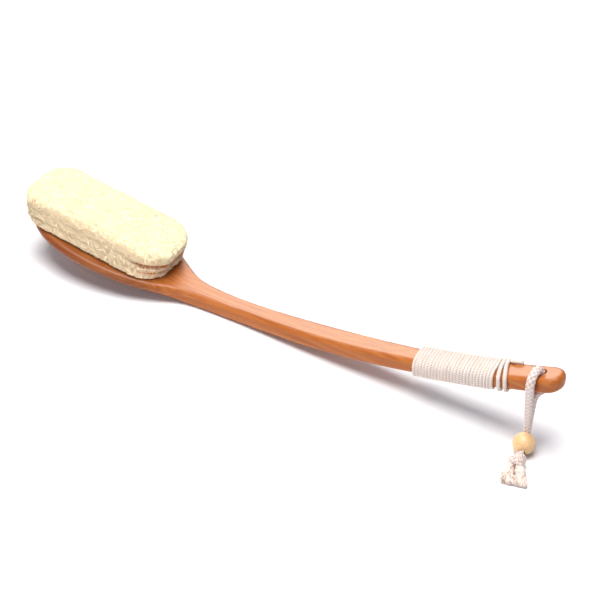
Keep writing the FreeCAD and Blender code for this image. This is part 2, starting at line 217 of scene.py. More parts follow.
def add(tree, kind, **settings):
    """A new node. settings are its attributes, and 'inputs' holds values for its sockets."""
    node = tree.nodes.new(kind)
    for key, value in settings.pop("inputs", {}).items():
        node.inputs[key].default_value = value
    for key, value in settings.items():
        setattr(node, key, value)
    return node


def join(tree, source, target):
    tree.links.new(source, target)


def ramp(tree, source, stops):
    """A colour ramp with the stops (place, linear RGB) on a value."""
    node = tree.nodes.new("ShaderNodeValToRGB")
    elements = node.color_ramp.elements
    while len(elements) < len(stops):
        elements.new(0.5)
    for element, (place, colour) in zip(elements, stops):
        element.position, element.color = place, (*colour, 1.0)
    join(tree, source, node.inputs["Fac"])
    return node.outputs["Color"]


def mixed(tree, blend, amount, first, second):
    """Mixes two colours; amount, first and second are sockets or values."""
    node = tree.nodes.new("ShaderNodeMix")
    node.data_type, node.blend_type = "RGBA", blend
    for key, value in ((0, amount), (6, first), (7, second)):
        if hasattr(value, "is_linked"):
            join(tree, value, node.inputs[key])
        else:
            node.inputs[key].default_value = value if key == 0 else (*value, 1.0)
    return node.outputs[2]


def scaled_noise(tree, place, scale, stretch=(1, 1, 1), detail=4.0, rough=0.55):
    """Noise on a position, in features per metre, stretched per axis."""
    mapping = add(tree, "ShaderNodeMapping")
    mapping.inputs["Scale"].default_value = stretch
    join(tree, place, mapping.inputs["Vector"])
    node = add(tree, "ShaderNodeTexNoise", inputs={"Scale": scale, "Detail": detail, "Roughness": rough})
    join(tree, mapping.outputs["Vector"], node.inputs["Vector"])
    return node.outputs["Fac"]


def bump(tree, height, shader, distance, strength=1.0):
    node = add(tree, "ShaderNodeBump", inputs={"Strength": strength, "Distance": distance})
    join(tree, height, node.inputs["Height"])
    join(tree, node.outputs["Normal"], shader.inputs["Normal"])


def wood_material(name, pale, mid, dark, along=(9, 420, 420), gloss=0.30, specular=0.32):
    """Satin wood: long fine grain, pores and slow colour drift."""
    mat, tree, shader = material(name)
    place = add(tree, "ShaderNodeTexCoord").outputs["Object"]
    drift = scaled_noise(tree, place, 1.0, (7, 70, 70), 2.0)
    grain = scaled_noise(tree, place, 1.0, along, 5.0, 0.6)
    pores = scaled_noise(tree, place, 1.0, (along[0] * 9, along[1] * 6, along[2] * 6), 2.0)
    colour = ramp(tree, grain, [(0.28, dark), (0.50, mid), (0.72, pale)])
    slow = ramp(tree, drift, [(0.3, (0.84, 0.76, 0.68)), (0.7, (1.0, 1.0, 1.0))])
    colour = mixed(tree, "MULTIPLY", 0.6, colour, slow)
    dots = ramp(tree, pores, [(0.28, (0.62, 0.50, 0.42)), (0.40, (1.0, 1.0, 1.0))])
    colour = mixed(tree, "MULTIPLY", 0.45, colour, dots)
    join(tree, colour, shader.inputs["Base Color"])
    rough = add(tree, "ShaderNodeMapRange", inputs={"To Min": gloss, "To Max": gloss + 0.14})
    join(tree, grain, rough.inputs["Value"])
    join(tree, rough.outputs["Result"], shader.inputs["Roughness"])
    shader.inputs["Specular IOR Level"].default_value = specular
    bump(tree, grain, shader, 0.00005, 0.4)
    return mat


def cotton_material(name, hollow, mid, crest, scale=2600.0):
    """Cotton yarn: colour from the mesh's own depth attribute, a fine fibre bump and a soft sheen. A low
    depth paints shade into the hollows between yarns and plies; on loose strands the depth is a random tone.
    """
    mat, tree, shader = material(name)
    place = add(tree, "ShaderNodeTexCoord").outputs["Object"]
    depth = add(tree, "ShaderNodeAttribute", attribute_name="depth").outputs["Fac"]
    fuzz = scaled_noise(tree, place, scale, (1, 1, 1), 3.0, 0.7)
    patch = scaled_noise(tree, place, 160.0, (1, 1, 1), 2.0)
    colour = ramp(tree, depth, [(0.0, hollow), (0.45, mid), (1.0, crest)])
    tone = ramp(tree, fuzz, [(0.25, (0.72, 0.66, 0.60)), (0.6, (1.0, 1.0, 1.0))])
    colour = mixed(tree, "MULTIPLY", 0.6, colour, tone)
    warm = ramp(tree, patch, [(0.35, (0.95, 0.88, 0.80)), (0.65, (1.0, 1.0, 1.0))])
    colour = mixed(tree, "MULTIPLY", 0.5, colour, warm)
    join(tree, colour, shader.inputs["Base Color"])
    shader.inputs["Roughness"].default_value = 0.95
    shader.inputs["Specular IOR Level"].default_value = 0.15
    shader.inputs["Sheen Weight"].default_value = 0.25
    shader.inputs["Sheen Roughness"].default_value = 0.5
    bump(tree, fuzz, shader, 0.00012, 0.7)
    return mat


# The darker tone is painted shade: the pad's shadow on the paddle, kept in the wood's colour.
HEAD_SHADE_TO, HEAD_SHADE_FROM = -0.112, -0.076        # x where the darker tone is full, and where it starts


def painted_pad_shade(mat):
    """Darkens the wood towards the head, to match the photograph: painted shade for the shadow the pad casts
    on the paddle.
    """
    tree = mat.node_tree
    shader = tree.nodes["Principled BSDF"]
    colour = shader.inputs["Base Color"].links[0].from_socket
    place = add(tree, "ShaderNodeTexCoord").outputs["Object"]
    split = add(tree, "ShaderNodeSeparateXYZ")
    join(tree, place, split.inputs[0])
    span = add(tree, "ShaderNodeMapRange", interpolation_type="SMOOTHSTEP")
    span.inputs["From Min"].default_value = HEAD_SHADE_TO
    span.inputs["From Max"].default_value = HEAD_SHADE_FROM
    join(tree, split.outputs["X"], span.inputs["Value"])
    tone = ramp(tree, span.outputs["Result"], [(0.0, (0.58, 0.54, 0.55)), (1.0, (1.0, 1.0, 1.0))])
    join(tree, mixed(tree, "MULTIPLY", 1.0, colour, tone), shader.inputs["Base Color"])


def lift_normal(tree, shader, share):
    """Leans the shading normal upwards, as a stand-in for light that passes between loose fibres."""
    bent = shader.inputs["Normal"].links[0].from_socket
    lift = add(tree, "ShaderNodeVectorMath", operation="ADD")
    lift.inputs[1].default_value = (0.0, 0.0, share)
    join(tree, bent, lift.inputs[0])
    unit_length = add(tree, "ShaderNodeVectorMath", operation="NORMALIZE")
    join(tree, lift.outputs["Vector"], unit_length.inputs[0])
    join(tree, unit_length.outputs["Vector"], shader.inputs["Normal"])


NORMAL_LIFT = 0.6


def loofah_material(name, pit, flesh, tip, peach, painted_glow_and_shade):
    """Dry gourd fibre: pale on the net's threads and tan in its pits, where the tan is painted shade. The
    painted_glow_and_shade attribute turns it peach, painted light on the translucent sides, then brown,
    painted shade in the gaps between the layers.
    """
    mat, tree, shader = material(name)
    place = add(tree, "ShaderNodeTexCoord").outputs["Object"]
    depth = add(tree, "ShaderNodeAttribute", attribute_name="depth").outputs["Fac"]
    brown = add(tree, "ShaderNodeAttribute", attribute_name="painted_glow_and_shade").outputs["Fac"]
    net = scaled_noise(tree, place, 900.0, (1, 1, 1), 3.0, 0.65)
    patch = scaled_noise(tree, place, 90.0, (1, 1, 1), 3.0)
    colour = ramp(tree, depth, [(0.05, pit), (0.40, flesh), (0.75, tip)])
    # Darker where the net's bump is low: painted shade in its pits.
    tone = ramp(tree, net, [(0.30, (0.88, 0.76, 0.60)), (0.55, (1.0, 1.0, 1.0))])
    colour = mixed(tree, "MULTIPLY", 0.5, colour, tone)
    warm = ramp(tree, patch, [(0.35, (0.98, 0.94, 0.84)), (0.62, (1.0, 1.0, 1.0))])
    colour = mixed(tree, "MULTIPLY", 0.5, colour, warm)
    # Peach is painted light on the pad's sides; the brown end is painted shade in the gaps between the
    # layers.
    glow_and_shade_colour = ramp(tree, brown, [(0.0, peach), (0.30, peach), (0.75, painted_glow_and_shade)])
    shares = ((0.0, 0.0), (0.22, 0.85), (0.75, 0.97))
    share = ramp(tree, brown, [(stop, (grey, grey, grey)) for stop, grey in shares])
    colour = mixed(tree, "MIX", share, colour, glow_and_shade_colour)
    join(tree, colour, shader.inputs["Base Color"])
    shader.inputs["Roughness"].default_value = 0.9
    shader.inputs["Specular IOR Level"].default_value = 0.2
    shader.inputs["Sheen Weight"].default_value = 0.15
    bump(tree, net, shader, 0.0003, 0.8)
    lift_normal(tree, shader, NORMAL_LIFT)
    return mat


WOOD = wood_material("satin_wood", (0.54, 0.182, 0.040), (0.44, 0.131, 0.023), (0.33, 0.084, 0.014))
# Painted shade: the pad's shadow on the head, kept in the wood's colour.
painted_pad_shade(WOOD)
BEAD_WOOD = wood_material("bead_wood", (0.93, 0.64, 0.34), (0.88, 0.57, 0.28), (0.78, 0.46, 0.20),
                          along=(160, 1100, 1100), gloss=0.36, specular=0.8)
# The first colour of each cotton goes where the depth is low: painted shade in the hollows between yarns, and
# on the tassel's loose strands a random tone.
TWINE = cotton_material("grip_twine", (0.40, 0.28, 0.23), (0.68, 0.57, 0.52), (0.93, 0.90, 0.85))
CORD = cotton_material("loop_cotton", (0.30, 0.15, 0.11), (0.69, 0.52, 0.47), (0.90, 0.84, 0.81))
TASSEL = cotton_material("tassel_cotton", (0.52, 0.32, 0.24), (0.87, 0.74, 0.66), (0.97, 0.92, 0.86))
# pit is painted shade in the net's pits, peach is painted light on the sides, and the last colour is painted
# shade in the gaps between the layers.
LOOFAH = loofah_material("loofah_fibre", (0.72, 0.47, 0.18), (0.94, 0.83, 0.50), (0.98, 0.95, 0.70),
                         (1.0, 0.77, 0.53), (0.74, 0.27, 0.07))
LOOFAH_CORE = loofah_material("loofah_core_fibre", (0.78, 0.50, 0.28), (0.94, 0.79, 0.54), (0.98, 0.92, 0.70),
                              (1.0, 0.77, 0.54), (0.72, 0.25, 0.06))


def glue_material():
    """Dried amber glue film."""
    mat, tree, shader = material("dried_glue")
    place = add(tree, "ShaderNodeTexCoord").outputs["Object"]
    lumps = scaled_noise(tree, place, 300.0, (1, 1, 1), 3.0)
    colour = ramp(tree, lumps, [(0.3, (0.42, 0.27, 0.10)), (0.7, (0.62, 0.44, 0.20))])
    join(tree, colour, shader.inputs["Base Color"])
    shader.inputs["Roughness"].default_value = 0.35
    bump(tree, lumps, shader, 0.0003, 0.6)
    return mat


def dress(node, mat):
    """Gives a CAD node its material."""
    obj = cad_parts[node]
    for slot in obj.material_slots:
        slot.material = mat
    if not obj.material_slots:
        obj.data.materials.append(mat)


dress("handle_body", WOOD)
dress("pad_adhesive", glue_material())


# ---------------- the handle's lines

wood_tree = surface_tree(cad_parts["handle_body"])


def top_height(x):
    """Height of the wood's top face on the centre line, in metres."""
    hit, _, _, _ = wood_tree.ray_cast(Vector((x, 0.0, 0.2)), Vector((0, 0, -1)))
    return hit.z


def side_reach(x, z):
    """Half-width of the wood at a height, in metres."""
    hit, _, _, _ = wood_tree.ray_cast(Vector((x, -0.1, z)), Vector((0, 1, 0)))
    return -hit.y


GRIP_X = np.linspace(0.104, 0.186, 24)      # places along the bound stretch, a little past both its ends
grip_top = np.poly1d(np.polyfit(GRIP_X, [top_height(x) for x in GRIP_X], 3))
grip_half = np.poly1d(np.polyfit(GRIP_X, [side_reach(x, top_height(x) - 5.6 * MM) for x in GRIP_X], 2))
grip_slope = grip_top.deriv()
THICK = 11.3 * MM       # the handle's thickness, square to its length
EDGE = 3.5 * MM         # its corner radius


def around_grip(x, share, lift):
    """A point on the rounded section round the handle, square to it, and its outward direction.

    share runs 0 to 1 round the section, from the middle of the underside towards the near side."""
    angle = math.atan(float(grip_slope(x)))
    normal = Vector((-math.sin(angle), 0, math.cos(angle)))
    half_high = THICK * math.cos(angle) / 2
    half_wide = float(grip_half(x))
    centre = Vector((x, 0, float(grip_top(x)))) - normal * half_high
    corner = EDGE + lift
    flat_w, flat_h, arc = half_wide - EDGE, half_high - EDGE, corner * math.pi / 2
    total = 4 * (flat_w + flat_h + arc)
    go = (share % 1.0) * total
    runs = ((flat_w, (0, -1), None), (arc, None, (-1, -1, -90)), (2 * flat_h, (-1, 0), None),
            (arc, None, (-1, 1, 180)), (2 * flat_w, (0, 1), None), (arc, None, (1, 1, 90)),
            (2 * flat_h, (1, 0), None), (arc, None, (1, -1, 0)), (flat_w, (0, -1), None))
    out_w, out_h = half_wide + lift, half_high + lift
    starts = ((0, -out_h), None, (-out_w, -flat_h), None, (-flat_w, out_h), None, (out_w, flat_h), None,
              (flat_w, -out_h))
    steps = ((-1, 0), None, (0, 1), None, (1, 0), None, (0, -1), None, (-1, 0))
    for (length, out, bend), start, step in zip(runs, starts, steps):
        if go <= length or bend is None and start == starts[-1]:
            break
        go -= length
    if bend is None:
        y, z = start[0] + step[0] * go, start[1] + step[1] * go
        out_y, out_z = out
    else:
        turn = math.radians(bend[2]) - go / corner
        out_y, out_z = math.cos(turn), math.sin(turn)
        y, z = bend[0] * flat_w + out_y * corner, bend[1] * flat_h + out_z * corner
    return centre + Vector((0, y, 0)) + normal * z, Vector((0, out_y, 0)) + normal * out_z


# ---------------- grip winding

TWINE_R = 1.175 * MM
TURNS = 25
POINTS_A_TURN = 96
COIL_FIRST, COIL_LAST = 0.1101, 0.1680      # middles of the first and the last turn
COIL_LEAN = math.tan(math.radians(4.6))
HAIRS, CUT_YARNS = 2300, 26
SLACK = 0.16            # how much thicker the open turns lie
# The two open turns after the coil: (turns past its end, station of the twine's middle)
OPEN_TURNS = ((0.0, 381.0), (0.16, 381.3), (0.32, 381.8), (0.41, 382.0), (0.50, 382.8), (0.62, 385.0),
              (0.70, 386.2), (0.78, 386.7), (0.92, 386.8), (1.02, 386.2), (1.20, 385.2), (1.32, 384.3),
              (1.41, 384.6), (1.50, 386.1), (1.62, 389.3), (1.70, 390.8), (1.78, 391.2), (1.92, 391.3),
              (2.02, 390.5), (2.20, 388.6), (2.40, 387.0))


def smooth_step(t):
    t = min(max(t, 0.0), 1.0)
    return t * t * (3 - 2 * t)


def upright_turn(x, turned, lift):
    """A point round the handle in an upright plane: the section's middle is moved until its x is right."""
    middle = x
    for _ in range(3):
        point, out = around_grip(middle, -turned, lift)
        middle += x - point.x
    return point, out


def winding_line():
    """Middle of the twine: a tight coil, two open turns, and a cut tail. Also the turn count along it."""
    places, stations = zip(*OPEN_TURNS)
    points, turned = [], []
    for i in range(int((TURNS + places[-1]) * POINTS_A_TURN) + 1):
        t = i / POINTS_A_TURN
        lift = TWINE_R * 0.98
        if t <= TURNS:
            x = COIL_FIRST + (COIL_LAST - COIL_FIRST) * t / TURNS
            side = upright_turn(x, t, lift)[0].y
            x -= side * COIL_LEAN
        else:
            lift = TWINE_R * 1.08
            x = sum(np.interp(t - TURNS + d, places, stations) for d in (-0.05, -0.025, 0, 0.025, 0.05)) / 5
            x = (x - MID) * MM
        wobble = 0.11 * MM * noise.noise(Vector((t * 3.1, 0.3, 0.7)))
        point, out = upright_turn(x, t, lift)
        points.append(point + out * abs(wobble) * 0.8 + Vector((wobble, 0, 0)))
        turned.append(t)
    heading, cut = points[-1], at(394.6, 6.6, 0)
    cut.z = top_height(cut.x) + TWINE_R * 0.9
    for i in range(1, 13):
        s = i / 12
        bow = Vector((0, -0.5, 0.5)) * MM * math.sin(math.pi * s)
        points.append(heading.lerp(cut, s) + bow)
        turned.append(turned[-1])
    return np.array(points), np.array(turned)


def twine_mesh():
    """The twine as one tube of three twisted lobes, with short hairs, thinning to its cut end."""
    points, turned = winding_line()
    line, along = evenly(points, 0.5 * MM)
    run = np.concatenate([[0], np.cumsum(np.linalg.norm(np.diff(points, axis=0), axis=1))])
    turned = np.interp(along, run, turned)
    full = TWINE_R * (1 + SLACK * np.clip((turned - TURNS - 0.1) / 0.2, 0, 1))
    to_cut_end = (along[-1] - along) / MM
    full *= np.interp(to_cut_end, [0, 0.3, 1.1, 6, 9], [0.25, 0.55, 0.72, 0.78, 1.0])
    _, one, two = carried_frames(line, (0.9, 0.1, 0.3))
    turn = np.linspace(0, 2 * math.pi, 14, endpoint=False)
    lobes = np.cos(3 * (turn[None, :] - 2 * math.pi * along[:, None] / (4.6 * MM)))
    radii = full[:, None] * (0.975 + 0.05 * lobes)
    gather = Gather()
    # Lower depth in the grooves between the plies: painted shade.
    gather.tube(rings_round(line, one, two, radii, turn), 0.66 + 0.30 * lobes)
    for _ in range(HAIRS):
        i = chance.randrange(8, len(line) - 8)
        angle = chance.uniform(0, 2 * math.pi)
        out = math.cos(angle) * one[i] + math.sin(angle) * two[i]
        start = line[i] + out * TWINE_R * 0.9
        heading = unit(out * chance.uniform(0.2, 0.9) + np.array([chance.uniform(-1, 1) for _ in range(3)]))
        length = chance.uniform(0.4, 1.2) * MM
        bend = np.array([chance.uniform(-1, 1) for _ in range(3)]) * 0.6
        share = np.linspace(0, 1, 4)[:, None]
        hair = start + heading * length * share + bend * length * share ** 2
        round_tube(gather, hair, np.array([0.05, 0.045, 0.035, 0.015]) * MM, 3, 0.9)
    for _ in range(CUT_YARNS):
        angle = chance.uniform(0, 2 * math.pi)
        out = math.cos(angle) * one[-1] + math.sin(angle) * two[-1]
        heading = unit(line[-1] - line[-6]) + out * chance.uniform(0.0, 0.5)
        start = line[-2] + out * TWINE_R * chance.uniform(0.2, 0.8)
        share = np.linspace(0, 1, 4)[:, None]
        yarn = start + heading * chance.uniform(0.5, 1.3) * MM * share
        round_tube(gather, yarn, np.array([0.2, 0.2, 0.17, 0.08]) * MM, 5, 0.8)
    return gather.build("grip_twine", TWINE)


grip = twine_mesh()
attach(grip, "scrubber")
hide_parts("grip_cord")


# ---------------- hanging loop

BEAD_RADIUS, BORE_RADIUS = 7.35 * MM, 2.55 * MM
BEAD_CENTRE = at(410.7, -16.2, 7.35)
BEAD_AXIS = Vector((0.22, -0.91, -0.35)).normalized()
STACK = Vector((0.37, -0.25, 0.89)).normalized()        # from the rear strand to the front one in the bore
TOP_OF_BEAD = BEAD_CENTRE - BEAD_AXIS * 10.5 * MM
UNDER_BEAD = BEAD_CENTRE + BEAD_AXIS * 9.5 * MM
PRESSED_WIDE, PRESSED_THIN = 2.15 * MM, 1.2 * MM

front_route = [at(411.1, -0.4, 50.7), at(410.3, -0.2, 55.6), at(408.7, -2.2, 58.3), at(408.6, -6.8, 57.7),
               at(408.7, -10.5, 57.0), at(409.0, -12.8, 53.2), at(409.0, -12.5, 47.0), at(409.0, -12.1, 40.4),
               at(408.9, -11.0, 28.0), TOP_OF_BEAD + STACK * 1.6 * MM,
               UNDER_BEAD + STACK * 1.2 * MM, at(413.2, -30.8, 5.6)]
rear_route = [at(412.2, -0.4, 47.4), at(413.3, -0.6, 42.4), at(409.6, -6.2, 40.2), at(409.2, -7.2, 26.0),
              TOP_OF_BEAD - STACK * 1.4 * MM, UNDER_BEAD - STACK * 1.2 * MM, at(413.2, -30.8, 5.2)]


def slimming(line, full, pressed):
    """The cord's half-size along a line: full outside the bead, pressed small in its bore."""
    gap = np.linalg.norm(line - np.array(BEAD_CENTRE), axis=1)
    share = np.clip((gap - 7.6 * MM) / (5.5 * MM), 0, 1)
    return pressed + (full - pressed) * share * share * (3 - 2 * share)


def loop_leg(name, route, first):
    """One braided leg of the loop, thinner past the bead, and its middle line."""
    line, _ = evenly(route_line(route), 0.5 * MM)
    past = np.einsum("ij,j->i", line - np.array(BEAD_CENTRE), np.array(BEAD_AXIS)) > 0
    high = np.clip((line[:, 2] - 20 * MM) / (25 * MM), 0, 1)
    wide = slimming(line, (2.20 + 0.42 * high) * MM, PRESSED_WIDE)
    thin = slimming(line, (2.00 + 0.20 * high) * MM, PRESSED_THIN)
    wide[past] = 1.6 * MM
    thin[past] = PRESSED_THIN
    gather = Gather()
    braid(gather, line, wide, thin, first, carriers=4, pitch=12.5 * MM, swing=0.17)
    return gather.build(name, CORD), line


front_leg, front_line = loop_leg("loop_front_leg", front_route, (0.84, -0.54, 0.0))
rear_leg, rear_line = loop_leg("loop_rear_leg", rear_route, (0.84, 0.54, 0.0))


def knot_mesh():
    """A barrel knot: the cord wound three times round itself."""
    axis = Vector((0.15, -0.985, 0)).normalized()
    centre = at(413.6, -32.4, 5.5)
    up = Vector((0, 0, 1))
    side = axis.cross(up)
    gather = Gather()
    turns, pitch, ring = 3.0, 3.3 * MM, 3.3 * MM
    count = 150         # steps along the winding
    points = []
    for i in range(count + 1):
        t = i / count
        angle = 2 * math.pi * (turns * t) + 0.6
        along = (t - 0.5) * turns * pitch
        pull = 1.0 - 0.55 * smooth_step((abs(t - 0.5) - 0.42) / 0.08)
        points.append(centre + axis * along + (side * math.cos(angle) + up * math.sin(angle)) * ring * pull)
    line = np.array(points)
    wide = [1.3 * MM, 1.75 * MM, 1.75 * MM, 1.75 * MM, 1.75 * MM, 1.3 * MM]
    braid(gather, line, wide, [w * 1.25 for w in wide], tuple(axis), carriers=4, pitch=10 * MM, swing=0.16)
    core = np.array([centre + axis * a * MM for a in np.linspace(-5.2, 5.6, 8)])
    # The core's low depth is painted shade inside the knot.
    round_tube(gather, core, np.array([1.2, 2.4, 2.6, 2.6, 2.6, 2.6, 2.4, 1.2]) * MM, 12, 0.1)
    return gather.build("stopper_knot", CORD), centre, axis


knot, knot_centre, knot_axis = knot_mesh()
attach(knot, "loop")
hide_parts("knot")


def tassel_mesh():
    """Two short cord tails bowed round a slit, each opening into a thick brush of yarn cut off straight."""
    root = knot_centre + knot_axis * 3.8 * MM
    away = Vector((0.38, -0.92, 0)).normalized()
    across = Vector((0.92, 0.38, 0)).normalized()
    cut_from, cut_to = Vector((199.2, -49.5, 0)) * MM, Vector((214.6, -45.2, 0)) * MM
    gather = Gather()
    for way in (-1, 1):
        controls = [root + across * way * 1.8 * MM,
                    root + across * way * 4.4 * MM + away * 1.6 * MM + Vector((0, 0, -0.4 * MM)),
                    root + across * way * 4.6 * MM + away * 5.6 * MM + Vector((0, 0, -1.7 * MM)),
                    root + across * way * 4.3 * MM + away * 8.6 * MM + Vector((0, 0, -2.4 * MM))]
        line = route_line(controls)
        wide = [2.1 * MM, 2.6 * MM, 2.9 * MM, 2.6 * MM]
        thin = [2.0 * MM, 2.2 * MM, 2.0 * MM, 1.3 * MM]
        braid(gather, line, wide, thin, tuple(across), carriers=6, pitch=11 * MM, swing=0.15)
        for _ in range(230):
            angle, reach = chance.uniform(0, 2 * math.pi), math.sqrt(chance.uniform(0, 1))
            spot = chance.uniform(0.02, 0.80)
            start = Vector(line[int(spot * (len(line) - 1))])
            start += across * math.cos(angle) * reach * (2.2 + 0.9 * spot) * MM
            start.z += math.sin(angle) * reach * 2.0 * MM
            share = 0.5 + way * 0.265 + 0.25 * math.cos(angle) * reach + chance.uniform(-0.03, 0.03)
            end = cut_from.lerp(cut_to, min(max(share, 0.0), 1.0)) + away * chance.uniform(-1.3, 0.5) * MM
            end.z = (0.5 + 1.9 * (0.5 + 0.5 * math.sin(angle) * reach)) * MM
            middle = start.lerp(end, 0.5) + across * chance.uniform(-0.5, 0.5) * MM
            middle.z += chance.uniform(-0.2, 0.7) * MM
            thick = chance.uniform(0.34, 0.58) * MM
            points = []
            for i in range(9):
                t = i / 8
                p = start.lerp(middle, t).lerp(middle.lerp(end, t), t)
                p += across * 0.45 * MM * math.sin(t * 11 + angle * 3) * min(t * 3, 1)
                p.z += 0.30 * MM * math.sin(t * 9 + angle * 5) * min(t * 3, 1)
                p.z = max(p.z, thick)
                points.append(p)
            tip = chance.choice((0.05, 0.25, 0.45, 0.7, 0.9))
            tones = np.array([chance.choice((0.0, 0.3, 0.6, 0.8, 0.95)) for _ in range(9)])
            tones[-2:] = tip
            size = thick * np.interp(np.linspace(0, 1, len(points)), [0, 0.2, 0.9, 1.0], [0.8, 1.0, 1.0, 0.6])
            round_tube(gather, np.array(points), size, 6, tones[:, None], first=(0.3, 0.2, 0.9))
        for _ in range(150):
            start = Vector(line[int(chance.uniform(0.3, 1.0) * (len(line) - 1))])
            start += across * chance.uniform(-3.2, 3.2) * MM + away * chance.uniform(-1.0, 4.0) * MM
            start.z = max(start.z + chance.uniform(-0.5, 1.6) * MM, 0.3 * MM)
            going = Vector((chance.uniform(-1, 1), chance.uniform(-1, 1), chance.uniform(-0.3, 0.5)))
            going = (going + away * 0.9).normalized()
            length = chance.uniform(1.0, 2.4) * MM
            curl = Vector((chance.uniform(-1, 1), chance.uniform(-1, 1), chance.uniform(-1, 1))) * 0.5
            points = []
            for i in range(5):
                t = i / 4
                p = start + going * length * t + curl * length * t * t
                p.z = max(p.z, 0.15 * MM)
                points.append(p)
            round_tube(gather, np.array(points), np.array([0.1, 0.1, 0.09, 0.07, 0.03]) * MM, 3, 0.9)
    return gather.build("frayed_tassel", TASSEL)


tassel = tassel_mesh()
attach(tassel, "loop")
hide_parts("tassel")


def bead_mesh():
    """A turned wooden bead: a lathe profile with softened bore mouths."""
    radius, bore = BEAD_RADIUS, BORE_RADIUS
    mouth = math.asin(bore / radius)
    profile = []
    for i in range(41):
        angle = mouth + 0.055 + (math.pi - 2 * (mouth + 0.055)) * i / 40
        profile.append((radius * math.sin(angle), radius * math.cos(angle)))
    rim = radius * math.cos(mouth)
    profile = ([(bore, -rim + 0.9 * MM), (bore, rim - 0.9 * MM), (bore + 0.05 * MM, rim - 0.35 * MM),
                (bore + 0.20 * MM, rim - 0.04 * MM)] + profile
               + [(bore + 0.20 * MM, -rim + 0.04 * MM), (bore + 0.05 * MM, -rim + 0.35 * MM)])
    place = Matrix.Translation(BEAD_CENTRE) @ BEAD_AXIS.to_track_quat("Z", "Y").to_matrix().to_4x4()
    sides = 96
    points, faces = [], []
    for k in range(sides):
        turn = 2 * math.pi * k / sides
        points += [place @ Vector((r * math.cos(turn), r * math.sin(turn), h)) for r, h in profile]
    size = len(profile)
    for k in range(sides):
        a, b = k * size, (k + 1) % sides * size
        faces += [(a + j, b + j, b + (j + 1) % size, a + (j + 1) % size) for j in range(size)]
    return new_mesh("turned_bead", points, faces, BEAD_WOOD)


bead = bead_mesh()
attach(bead, "bead")
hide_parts("bead")

for leg, node in ((front_leg, "loop_cord_upper"), (rear_leg, "loop_cord_lower")):
    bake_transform(leg)
    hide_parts(node)


# ---------------- loofah pad

PAD_LENGTH, PAD_WIDTH, PAD_CORNER = 120 * MM, 54 * MM, 20 * MM
LAYER_STEP = 2.0 * MM         # how much shorter each layer is than the one above it
PAD_STEP = 0.6 * MM           # spacing of the mesh's points
TOP_STEP = 0.62 * MM          # spacing across the top face
HIDDEN_STEP = 6 * MM          # spacing across the faces that lie inside the pad
PAD_MIDDLE = at(63.5, 1.8, 0)
PAD_TURN = math.radians(2.6)
NEAR_SLANT = 0.31
# heights of the layers' faces above the paddle, from the bottom layer's underside to the top layer's top
LEVELS = [0.5 * MM, 6.5 * MM, 12.9 * MM, 20.5 * MM]
TIP_X, NECK_X = -0.185, -0.112     # two places on the paddle's flat top
PADDLE_SLOPE = (top_height(NECK_X) - top_height(TIP_X)) / (NECK_X - TIP_X)
PADDLE_AT = top_height(TIP_X)


def paddle_top(x):
    """Height of the paddle's sloping top face."""
    return PADDLE_AT + (x - TIP_X) * PADDLE_SLOPE


def on_paddle(place):
    """The frame's point for a pad point: along the pad from its free end, across it, and above the paddle."""
    along, side = place.x - PAD_LENGTH / 2, place.y
    x = PAD_MIDDLE.x + along * math.cos(PAD_TURN) - side * math.sin(PAD_TURN)
    y = PAD_MIDDLE.y + along * math.sin(PAD_TURN) + side * math.cos(PAD_TURN)
    return Vector((x, y, paddle_top(x) + place.z))


def slanted(place):
    """Leans the pad's near side inwards as it rises, as the photograph shows it, except round the tip."""
    near = smooth_step((-place.y - 8 * MM) / (14 * MM)) * smooth_step((place.x - 4 * MM) / (26 * MM))
    return Vector((place.x, place.y + near * NEAR_SLANT * max(place.z, 0.0), place.z))


def half_outline(step, reach):
    """Points and inward directions along the near half of a layer's plan, tip to neck."""
    half, corner = PAD_WIDTH / 2, PAD_CORNER
    rows = []
    flat, arc, side = half - corner, corner * math.pi / 2, reach - 2 * corner
    for length, kind in ((flat, "tip"), (arc, "turn"), (side, "side"), (arc, "back"), (flat, "neck")):
        count = max(2, int(round(length / step)))
        for i in range(count):
            t = i / count
            if kind == "tip":
                rows.append((0.0, -flat * t, 1.0, 0.0))
            elif kind == "side":
                rows.append((corner + side * t, -half, 0.0, 1.0))
            elif kind in ("turn", "back"):
                centre, begin = (corner, 180) if kind == "turn" else (reach - corner, 270)
                a = math.radians(begin + 90 * t)
                out_x, out_y = math.cos(a), math.sin(a)
                rows.append((centre + corner * out_x, -flat + corner * out_y, -out_x, -out_y))
            else:
                rows.append((reach, -flat * (1 - t), -1.0, 0.0))
    rows.append((reach, 0.0, -1.0, 0.0))
    return rows


def pad_shell(profile, reach):
    """A closed shell over the pad's plan. profile holds (inset, height), from the top's middle round."""
    near = half_outline(PAD_STEP, reach)
    loop = near + [(x, -y, nx, -ny) for x, y, nx, ny in reversed(near[1:-1])]
    medial = PAD_WIDTH / 2
    points = []
    for inset, height in profile:
        for x, y, nx, ny in loop:
            d = min(inset, PAD_CORNER)
            px, py = x + nx * d, y + ny * d
            if inset > PAD_CORNER:
                py *= max(0.0, 1 - (inset - PAD_CORNER) / (medial - PAD_CORNER))
            points.append((px, py, height))
    size, faces = len(loop), []
    for i in range(len(profile) - 1):
        a, b = i * size, (i + 1) * size
        faces += [(a + j, b + j, b + (j + 1) % size, a + (j + 1) % size) for j in range(size)]
    return points, faces


def clean(name, points, faces, mat):
    """Merges the points that fall together and returns the object."""
    obj = new_mesh(name, points, faces, mat)
    work = bmesh.new()
    work.from_mesh(obj.data)
    bmesh.ops.remove_doubles(work, verts=work.verts, dist=0.09 * MM)
    bmesh.ops.dissolve_degenerate(work, edges=work.edges, dist=0.01 * MM)
    bmesh.ops.recalc_face_normals(work, faces=work.faces)
    work.to_mesh(obj.data)
    work.free()
    for poly in obj.data.polygons:
        poly.use_smooth = True
    return obj


